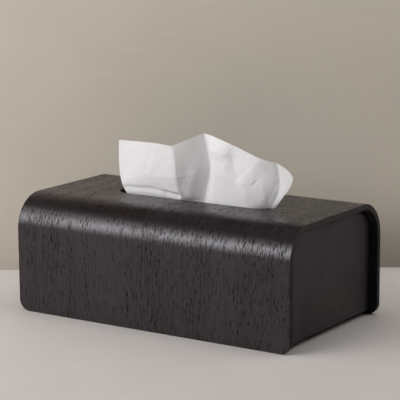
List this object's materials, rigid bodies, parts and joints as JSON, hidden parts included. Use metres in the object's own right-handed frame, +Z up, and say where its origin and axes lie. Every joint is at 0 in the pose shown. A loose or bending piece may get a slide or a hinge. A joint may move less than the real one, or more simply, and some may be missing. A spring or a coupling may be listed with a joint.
{
  "type": "tissue box with drawer",
  "caption": "Black bent-plywood tissue box with a dispensing slot in its top, recessed end panels and a side-hung wooden drawer that slides out of its right end.",
  "frame": {"origin": "bottom centre of the case, on the surface that it stands on", "axes": "+X along the length towards the drawer's front, +Y from the front wall to the back wall, +Z up out of the slot"},
  "size_m": [0.27, 0.15, 0.1553],
  "materials": {
    "black_oak_veneer": "black-stained open-pore oak veneer on bent plywood, satin lacquer",
    "black_panel": "smooth black-lacquered board, satin",
    "black_carcase": "black-stained plywood, matt",
    "beech": "planed and waxed beech",
    "screw_steel": "zinc-plated steel",
    "tissue": "soft white two-ply tissue"
  },
  "bodies": {
    "case": {"bent_shell": "black_oak_veneer", "left_end_panel": "black_panel", "left_panel_cleats": "beech", "front_runner": "beech", "rear_runner": "beech", "popup_tissue": "tissue"},
    "drawer": {"drawer_front": "black_panel", "near_drawer_side": "black_carcase", "far_drawer_side": "black_carcase", "drawer_back": "black_carcase", "drawer_base": "black_carcase", "base_screws": "screw_steel", "front_dowels": "beech", "near_back_dowels": "beech", "far_back_dowels": "beech", "tissue_stack": "tissue"}
  },
  "joints": [
    {"name": "drawer_slide", "type": "slide", "parent": "case", "child": "drawer", "axis": [1, 0, 0], "range_m": [0, 0.19]}
  ]
}
